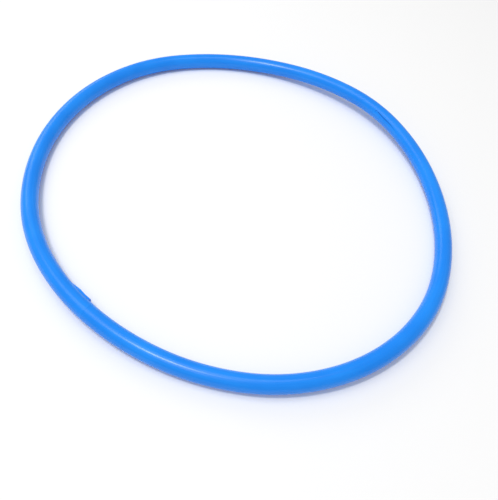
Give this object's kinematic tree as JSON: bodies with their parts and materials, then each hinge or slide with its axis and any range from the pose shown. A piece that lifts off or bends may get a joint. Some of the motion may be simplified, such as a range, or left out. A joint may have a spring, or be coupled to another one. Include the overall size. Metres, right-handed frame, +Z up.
{
  "type": "flying ring",
  "caption": "Smooth round throwing ring bent from hollow plastic tube, its two ends locked together over a barbed plug inside, with a spring catch on the inner edge.",
  "frame": {"origin": "on the ground plane under the middle of the ring's outline", "axes": "+Z up, square to the ring; the ring's plan outline is centred on Z, its long way lies at 135 and 315 degrees from +X towards +Y, and the joint is at 237.5 degrees"},
  "size_m": [0.2492, 0.2496, 0.0145],
  "materials": {
    "tube_plastic": "smooth glossy blue polyethylene",
    "plug_plastic": "moulded blue plastic, as the tube"
  },
  "bodies": {
    "root": {"ring_tube": "tube_plastic", "joint_plug": "plug_plastic"}
  },
  "joints": []
}
